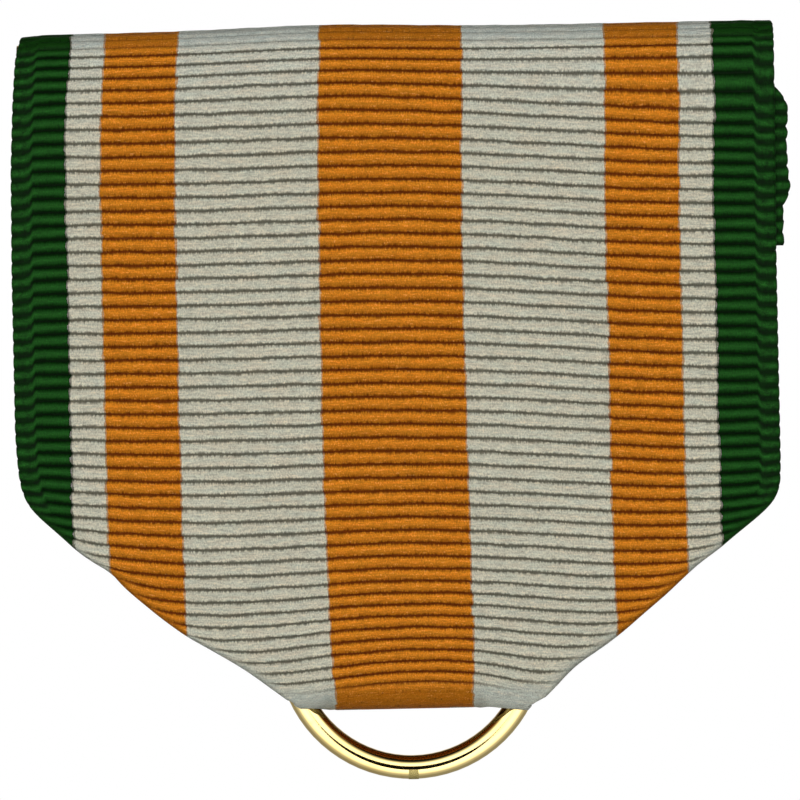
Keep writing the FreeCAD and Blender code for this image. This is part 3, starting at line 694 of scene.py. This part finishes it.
def ribbon_material():
    """Warp-faced ribbed weave: coloured warp threads over thick hidden weft cords."""
    nodes = new_material("ribbed_ribbon")
    cloth = nodes.make("ShaderNodeAttribute", attribute_name="cloth").outputs["Vector"]
    parts = nodes.make("ShaderNodeSeparateXYZ", {0: cloth})
    across, rib, pressed_and_shade = parts.outputs
    rib_number = nodes.math("FLOOR", rib)
    phase = nodes.math("FRACT", rib)
    far_side = nodes.math("SUBTRACT", 1.0, phase)

    def texture(across_scale, rib_scale, detail, rough=0.6, by_rib=False):
        """Noise stretched along or across the threads; by_rib makes every rib differ."""
        x = nodes.math("MULTIPLY", across, across_scale)
        y = nodes.math("MULTIPLY", rib_number if by_rib else rib, rib_scale)
        return nodes.noise(nodes.join(x, y), 1.0, detail, rough)

    # each warp thread wanders a little from rib to rib, which feathers the stripe edges
    shift = nodes.math("SUBTRACT", texture(1.3, 3.7, 1.0, by_rib=True), 0.5)
    feather = nodes.math("SUBTRACT", texture(9.0, 2.1, 2.0), 0.5)
    place = nodes.math("ADD", across, nodes.math("MULTIPLY", shift, 0.30))
    place = nodes.math("ADD", place, nodes.math("MULTIPLY", feather, 0.16))
    place = nodes.math("ABSOLUTE", place)
    bulge = nodes.math("SINE", nodes.math("MULTIPLY", phase, math.pi))
    near_green = nodes.math("MULTIPLY", nodes.band(place, 14.2, 14.6), 0.03)
    place = nodes.math("SUBTRACT", place, nodes.math("MULTIPLY", bulge, near_green))
    crest_colour = stripe_ramp(nodes, place, STRIPES)
    groove_shade_colour = stripe_ramp(nodes, place, GROOVE_SHADES)
    in_green = nodes.band(place, 14.750, 14.756)
    in_white = stripe_ramp(nodes, place, IS_WHITE)

    # fibres, streaks along each rib, and slow changes of tone
    fibre = texture(15.0, 5.5, 2.0, 0.6)
    streak = texture(2.1, 7.3, 2.0, 0.6)
    slow = texture(0.25, 0.11, 2.0)
    single = texture(2.0, 9.1, 2.0, by_rib=True)
    shade = nodes.spread(fibre, 0.34, 1.66)
    shade = nodes.math("MULTIPLY", shade, nodes.spread(streak, 0.46, 1.54))
    shade = nodes.math("MULTIPLY", shade, nodes.spread(slow, 0.93, 1.07))
    shade = nodes.math("MULTIPLY", shade, nodes.spread(single, 0.88, 1.12))

    # painted light and shade on each rib's curve: white ribs are painted brightest at their lower
    # lip, orange ribs above their middle, and green ribs on their crest, where the painted
    # highlight is also less saturated
    lower_lip = nodes.flip(nodes.band(phase, 0.14, 0.46))
    upper_middle = nodes.math("SUBTRACT", nodes.band(phase, 0.28, 0.60),
                              nodes.band(phase, 0.70, 0.95))
    lit = nodes.blend(in_white, nodes.grey(nodes.spread(upper_middle, 0.84, 1.17)),
                      nodes.grey(nodes.spread(lower_lip, 0.94, 1.12)))
    crest = nodes.math("POWER", bulge, 2.6)
    painted_green_light = nodes.blend(crest, (0.10, 0.36, 0.10, 1.0), (1.8, 1.62, 2.2, 1.0))
    lit = nodes.blend(in_green, lit, painted_green_light)
    lit = nodes.blend(pressed_and_shade, lit, FULL)

    # small dark ticks in the lower part of coloured ribs
    ticks = nodes.band(texture(8.5, 5.9, 1.0, by_rib=True), 0.52, 0.68)
    ticks = nodes.math("MULTIPLY", ticks, nodes.flip(nodes.band(phase, 0.16, 0.42)))
    ticks = nodes.blend(in_white, nodes.grey(ticks), NONE)
    shade = nodes.math("MULTIPLY", shade, nodes.spread(ticks, 1.0, 0.60))
    body = nodes.times(crest_colour, nodes.grey(shade))

    # painted shade: where the ribs lie flat, at the folds and over the bar, the cloth is painted
    # darker and its white cooler, as shade where the cloth turns away
    painted_fold_shade = nodes.blend(in_white, (0.70, 0.68, 0.58, 1.0), (0.72, 0.78, 0.85, 1.0))
    painted_fold_shade = nodes.blend(pressed_and_shade, FULL, painted_fold_shade)
    body = nodes.times(nodes.times(body, painted_fold_shade), lit)

    # patches of warmer and cooler thread, cooler white near the top, and painted golden glints
    # (small painted highlights)
    tint = nodes.blend(texture(0.7, 2.6, 2.0), (1.12, 0.98, 0.90, 1.0), (0.88, 1.02, 1.08, 1.0))
    body = nodes.times(body, tint)
    near_top = nodes.math("MULTIPLY", nodes.band(rib, 40.0, 54.0), in_white)
    body = nodes.blend(near_top, body, nodes.times(body, (1.02, 1.06, 1.14, 1.0)))
    painted_glint = nodes.band(nodes.math("MULTIPLY", fibre, streak), 0.30, 0.46)
    painted_glint = nodes.blend(in_green, nodes.grey(nodes.math("MULTIPLY", painted_glint, 0.38)), NONE)
    body = nodes.blend(painted_glint, body, (0.68, 0.46, 0.21, 1.0))

    # painted groove shade: the groove between two ribs is painted dark, and both lips of that
    # shade are toothed by the threads that dive into it
    teeth = nodes.band(texture(9.5, 5.3, 1.0, by_rib=True), 0.35, 0.65)
    lip = nodes.band(texture(2.4, 5.0, 2.0, by_rib=True), 0.2, 0.8)
    uneven = nodes.spread(lip, -0.03, 0.05)
    lower_reach = nodes.math("ADD", nodes.spread(teeth, 0.12, 0.36), uneven)
    upper_teeth = nodes.band(texture(8.1, 7.7, 1.0, by_rib=True), 0.35, 0.65)
    upper_reach = nodes.math("ADD", nodes.spread(upper_teeth, 0.13, 0.30), uneven)
    under = nodes.flip(nodes.band(far_side, 0.02, lower_reach))
    over = nodes.flip(nodes.band(phase, 0.02, upper_reach))
    groove_shade_mask = nodes.math("MAXIMUM", under, over)

    # the selvage is mottled, and the painted shade in its grooves is soft
    soft_groove_shade = nodes.flip(nodes.band(nodes.math("MINIMUM", phase, far_side), 0.05, 0.38))
    wave = nodes.math("MULTIPLY", nodes.math("SUBTRACT", texture(1.7, 2.9, 2.0), 0.5), 0.5)
    selvage = nodes.band(nodes.math("ADD", place, wave), 16.50, 16.64)
    mottled = nodes.spread(texture(3.1, 1.9, 3.0, 0.7), -0.4, 2.2)
    body = nodes.times(body, nodes.blend(selvage, FULL, nodes.grey(mottled)))
    soft_groove_shade = nodes.math("MULTIPLY", soft_groove_shade, 0.62)
    groove_shade_mask = nodes.blend(selvage, nodes.grey(groove_shade_mask), nodes.grey(soft_groove_shade))

    # pressing closes the grooves and takes out their painted shade; a painted shadow line runs
    # along the border of the green
    open_groove = nodes.flip(nodes.math("MULTIPLY", pressed_and_shade, 0.97))
    groove_shade_mask = nodes.math("MULTIPLY", nodes.math("MULTIPLY", groove_shade_mask, open_groove), 0.84)
    body = nodes.blend(groove_shade_mask, body, groove_shade_colour)
    from_green = nodes.math("ABSOLUTE", nodes.math("SUBTRACT", place, 14.74))
    green_edge_shadow = nodes.flip(nodes.band(from_green, 0.03, 0.08))
    body = nodes.blend(nodes.math("MULTIPLY", green_edge_shadow, 0.7), body, GROOVE_SHADE_GREEN)

    threads = nodes.math("MULTIPLY", fibre, 0.8)
    threads = nodes.math("ADD", threads, nodes.math("MULTIPLY", streak, 0.6))
    return nodes.finish({
        "Base Color": body, "Roughness": nodes.spread(fibre, 0.50, 0.72),
        "Normal": nodes.bump(threads, 0.6, 0.00006),
        "Specular IOR Level": 0.06, "Sheen Weight": 0.01, "Sheen Roughness": 0.4,
    })


def metal_material(name, base, tarnish, rough, scratch_direction, scratch_depth, ring=None):
    """Plated metal with faint tarnish, fine scratches and uneven polish.

    ring is for a ring in the XZ plane: its middle, the radius of its wire's centreline, and
    the radii between which the painted darker inner side ends, all in metres; that darkening is
    painted reflection of the shaded ribbon.
    The ring's normals come from that circle, so that facets don't break its mirror image.
    """
    nodes = new_material(name)
    place = nodes.make("ShaderNodeTexCoord").outputs["Object"]
    stretched = nodes.make("ShaderNodeMapping", {0: place, 3: scratch_direction}).outputs[0]
    scratches = nodes.noise(stretched, 1.0, 4.0, 0.7)
    cloud = nodes.noise(place, 260.0, 3.0, 0.6)
    spots = nodes.noise(place, 1500.0, 2.0, 0.6)
    stain = nodes.math("MULTIPLY", nodes.band(cloud, 0.48, 0.75), 0.55)
    speck = nodes.math("MULTIPLY", nodes.band(spots, 0.62, 0.78), 0.25)
    stain = nodes.math("ADD", stain, speck, clamp=True)
    body = nodes.blend(stain, base, tarnish)
    normal = None
    if ring:
        middle, wire_radius, inner, outer = ring
        from_middle = nodes.vector("SUBTRACT", place, middle)
        in_plane = nodes.vector("MULTIPLY", from_middle, (1.0, 0.0, 1.0))
        core = nodes.vector("SCALE", nodes.vector("NORMALIZE", in_plane), wire_radius)
        from_core = nodes.vector("NORMALIZE", nodes.vector("SUBTRACT", from_middle, core))
        normal = nodes.make("ShaderNodeVectorTransform", {0: from_core}, vector_type="NORMAL",
                            convert_from="OBJECT", convert_to="WORLD").outputs[0]
        # painted reflection: the inner side of the wire is painted darker, as if it mirrored the
        # shaded ribbon
        painted_inner_shade = nodes.flip(nodes.band(nodes.vector("LENGTH", in_plane), inner, outer))
        body = nodes.blend(painted_inner_shade, body, nodes.times(body, colour(180, 162, 124)))
    polish = nodes.math("ADD", nodes.spread(scratches, rough * 0.7, rough * 1.4),
                        nodes.math("MULTIPLY", stain, 0.5 * rough))
    return nodes.finish({
        "Base Color": body, "Metallic": 1.0, "Roughness": polish,
        "Normal": nodes.bump(scratches, 0.25, scratch_depth, normal),
    })


def solder_material():
    """Dull solder with a grainy skin."""
    nodes = new_material("dull_solder")
    place = nodes.make("ShaderNodeTexCoord").outputs["Object"]
    grain = nodes.noise(place, 6000.0, 3.0, 0.7)
    patches = nodes.noise(place, 1700.0, 2.0, 0.6)
    body = nodes.blend(patches, colour(190, 176, 112), colour(150, 136, 84))
    return nodes.finish({
        "Base Color": body, "Metallic": 0.75, "Roughness": nodes.spread(grain, 0.5, 0.75),
        "Normal": nodes.bump(grain, 0.6, 0.00004),
    })


def thread_material():
    """Two-ply sewing thread: slanted twist lines, with painted shade in their valleys, and loose
    fibres.
    """
    nodes = new_material("sewing_thread")
    place = nodes.make("ShaderNodeTexCoord").outputs["Object"]
    slant = math.radians(32)
    turned = nodes.make("ShaderNodeMapping", {0: place, 2: (0.0, slant, slant)}).outputs[0]
    twist = nodes.make("ShaderNodeTexWave", {"Vector": turned, "Scale": 900.0, "Distortion": 1.5,
                                             "Detail": 2.0}, bands_direction="X").outputs[1]
    fuzz = nodes.noise(place, 9000.0, 2.0, 0.7)
    # painted shade: the low parts of the twist are painted darker
    body = nodes.blend(twist, colour(150, 140, 116), colour(232, 224, 200))
    body = nodes.times(body, nodes.grey(nodes.spread(fuzz, 0.85, 1.12)))
    return nodes.finish({
        "Base Color": body, "Roughness": 0.75, "Sheen Weight": 0.3,
        "Normal": nodes.bump(twist, 0.8, 0.00005),
    })


def dress(piece, material):
    """Give a piece one material in every slot."""
    if not piece.data.materials:
        piece.data.materials.append(material)
    for number in range(len(piece.data.materials)):
        piece.data.materials[number] = material


# ---------------------------------------------------------------- stage

def floor_material():
    """Pale floor that fades to the white surround away from the object."""
    nodes = new_material("pale_floor")
    place = nodes.make("ShaderNodeNewGeometry").outputs["Position"]
    from_object = nodes.vector("LENGTH", nodes.vector("MULTIPLY", place, (1.0, 1.0, 0.0)))
    fade = nodes.band(from_object, 0.020, 0.045)
    lit = nodes.make("ShaderNodeBsdfDiffuse", {0: (0.92, 0.92, 0.92, 1.0)})
    glow = nodes.make("ShaderNodeEmission", {0: FULL, 1: 1.0})
    fill = nodes.make("ShaderNodeEmission", {0: FULL, 1: 0.6})
    near = nodes.make("ShaderNodeAddShader", {0: lit.outputs[0], 1: fill.outputs[0]})
    both = nodes.make("ShaderNodeMixShader", {0: fade, 1: near.outputs[0], 2: glow.outputs[0]})
    return nodes.close(both)


def make_floor():
    """Wide flat floor under the object, seen by the camera but not mirrored in the metal."""
    level = (ring_low.z - 7.0) * MM
    reach = 1.5
    mesh = bpy.data.meshes.new("floor")
    corners = [(-reach, -reach, level), (reach, -reach, level),
               (reach, reach, level), (-reach, reach, level)]
    mesh.from_pydata(corners, [], [(0, 1, 2, 3)])
    floor = bpy.data.objects.new("floor", mesh)
    bpy.context.scene.collection.objects.link(floor)
    floor.visible_glossy = False
    floor.visible_diffuse = False
    dress(floor, floor_material())


def make_card():
    """Dark card in front of the ring, cut so that the wire mirrors it as one tapering line.

    A point of the wire at some angle round the ring mirrors the part of the card that lies
    at the same angle from the ring's centre. Angles are counted from the lowest point.
    """
    away = 30.0
    start, end, steps = -40, 34, 25
    widest, half_span = math.radians(-3), math.radians(37)
    wire_radius = (ring_high.x - ring_low.x) / 2 - (ring_high.y - ring_low.y) / 2
    middle_x = (ring_low.x + ring_high.x) / 2
    middle_z = ring_low.z + (ring_high.x - ring_low.x) / 2
    angles = np.radians(np.linspace(start, end, steps))
    width = away * (1 - ((angles - widest) / half_span) ** 2)
    outer_side = wire_radius + 0.46 * width
    inner_side = wire_radius - 0.186 * width
    reach = np.concatenate([outer_side, inner_side[::-1]])
    turn = np.concatenate([angles, angles[::-1]])
    corners = grid(middle_x + reach * np.sin(turn), RING_Y - away,
                   middle_z - reach * np.cos(turn)) * MM
    mesh = bpy.data.meshes.new("dark_card")
    mesh.from_pydata(corners.tolist(), [], [list(range(len(corners)))])
    card = bpy.data.objects.new("dark_card", mesh)
    bpy.context.scene.collection.objects.link(card)
    card.visible_camera = False
    card.visible_diffuse = False
    card.visible_shadow = False
    nodes = new_material("black_card")
    black = nodes.make("ShaderNodeBsdfDiffuse", {0: (0.01, 0.01, 0.01, 1.0)})
    dress(card, nodes.close(black))


def make_world():
    """White surround for the camera, and a room lit from the front for everything else.

    Cloth is lit by a soft lobe from the front and a weaker one from behind. Metal mirrors
    a bright front that is a little dimmer straight ahead, a dark ceiling, and a soft glow
    from behind. Behind the front the room is dim.
    """
    world = bpy.data.worlds.new("studio")
    world.cycles.sampling_method = "NONE"
    bpy.context.scene.world = world
    nodes = Nodes(world)
    direction = nodes.make("ShaderNodeTexCoord").outputs["Generated"]
    _, depth, rise = nodes.make("ShaderNodeSeparateXYZ", {0: direction}).outputs

    def lobe(aim, power, strength):
        facing = nodes.math("MAXIMUM", nodes.vector("DOT_PRODUCT", direction, aim), 0.0)
        return nodes.math("MULTIPLY", nodes.math("POWER", facing, power), strength)

    from_front = lobe((-0.10, -0.99, 0.03), 13.0, 5.9)
    from_behind = lobe((0.1, 0.99, 0.1), 8.0, 4.2)
    soft = nodes.math("ADD", nodes.math("ADD", from_front, from_behind), 0.06)

    ahead = nodes.math("MULTIPLY", depth, -1.0)
    dim = nodes.math("MULTIPLY", nodes.band(ahead, -0.22, 0.16, smooth=False), 0.26)
    bright = nodes.math("MULTIPLY", nodes.band(ahead, 0.16, 0.85), 1.55)
    mirrored = nodes.math("ADD", nodes.math("ADD", dim, bright), 0.29)
    mirrored = nodes.math("ADD", mirrored, lobe((0.0, 0.98, 0.15), 12.0, 1.3))
    straight_ahead = nodes.spread(nodes.band(ahead, 0.93, 0.985), 1.0, 0.86)
    mirrored = nodes.math("MULTIPLY", mirrored, straight_ahead)
    ceiling = nodes.spread(nodes.band(rise, 0.46, 0.80, smooth=False), 1.0, 0.02)
    mirrored = nodes.grey(nodes.math("MULTIPLY", mirrored, ceiling))

    rays = nodes.make("ShaderNodeLightPath").outputs
    light = nodes.blend(rays["Is Glossy Ray"], nodes.grey(soft), mirrored)
    light = nodes.times(light, (1.0, 0.985, 0.95, 1.0))
    light = nodes.blend(rays["Is Camera Ray"], light, FULL)
    room = nodes.make("ShaderNodeBackground", {0: light, 1: 1.0})
    nodes.make("ShaderNodeOutputWorld", {0: room.outputs[0]})


def make_light(name, place, target, size, power):
    """Soft square light at a place, pointed at a target; lengths are in millimetres."""
    data = bpy.data.lights.new(name, "AREA")
    data.size = size * MM
    data.energy = power
    light = bpy.data.objects.new(name, data)
    bpy.context.scene.collection.objects.link(light)
    light.location = Vector(place) * MM
    aim = (Vector(target) - Vector(place)).normalized()
    light.rotation_mode = "QUATERNION"
    light.rotation_quaternion = aim.to_track_quat("-Z", "Y")
    light.visible_glossy = False


def make_camera():
    """Long lens square to the front, rolled a little, as the object was photographed."""
    lens, sensor = 250.0, 36.0
    view_width = 36.45
    aside, below_top, roll_degrees = 0.08, 16.95, -1.2
    distance = view_width * lens / sensor
    data = bpy.data.cameras.new("camera")
    data.lens = lens
    data.sensor_width = sensor
    data.clip_start = 0.005
    data.clip_end = 10.0
    camera = bpy.data.objects.new("camera", data)
    bpy.context.scene.collection.objects.link(camera)
    place = Matrix.Translation(Vector((aside, FRONT - distance, TOP - below_top)) * MM)
    look = Matrix.Rotation(math.radians(90), 4, "X")
    roll = Matrix.Rotation(math.radians(roll_degrees), 4, "Z")
    camera.matrix_world = place @ look @ roll
    bpy.context.scene.camera = camera


# ---------------------------------------------------------------- build

ribbon = ribbon_material()
for piece in (make_front(), make_flap("ribbon_flap_right", 1), make_flap("ribbon_flap_left", -1),
              make_turnup(), make_tail()):
    dress(piece, ribbon)
    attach(piece, "drape")
    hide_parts("ribbon_drape")

gilt = metal_material("gilt_brass", colour(236, 202, 122), colour(184, 146, 76), 0.30,
                      (900.0, 6000.0, 6000.0), 0.00002)
# the ring in its own mesh's coordinates: outer radius and half the wire, in metres
ring_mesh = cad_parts["suspension_ring"].data
ring_places = np.array([vertex.co for vertex in ring_mesh.vertices])
ring_middle = (ring_places.min(0) + ring_places.max(0)) / 2
ring_radius, half_wire, _ = (ring_places.max(0) - ring_places.min(0)) / 2
# middle and wire radius for the ring's normals, and the radii of its painted darker inner side
ring_and_inner_shade = (ring_middle.tolist(), ring_radius - half_wire,
             ring_radius - 1.62 * half_wire, ring_radius - 1.42 * half_wire)
ring_gilt = metal_material("gilt_wire", colour(252, 228, 158), colour(226, 192, 112), 0.04,
                           (2500.0, 2500.0, 2500.0), 0.000006, ring_and_inner_shade)
steel = metal_material("pin_steel", colour(205, 203, 198), colour(140, 134, 122), 0.26,
                       (700.0, 9000.0, 9000.0), 0.00002)
thread = thread_material()
solder = solder_material()
for node in ("brooch_plate", "top_bar", "hinge_bracket", "hinge_rivet",
             "catch_housing", "catch_rotor"):
    dress(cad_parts[node], gilt)
dress(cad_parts["pin_stem"], steel)
dress(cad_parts["suspension_ring"], ring_gilt)
dress(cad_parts["ring_solder"], solder)
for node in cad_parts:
    if node.startswith("seam_"):
        dress(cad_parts[node], thread)

make_floor()
make_card()
make_world()
MIDDLE = (0.0, 0.0, (TOP + FOLD) / 2)
make_light("key", (-60.0, -280.0, 60.0), MIDDLE, 120.0, 0.05)
make_camera()
bpy.context.scene.view_settings.view_transform = "Standard"
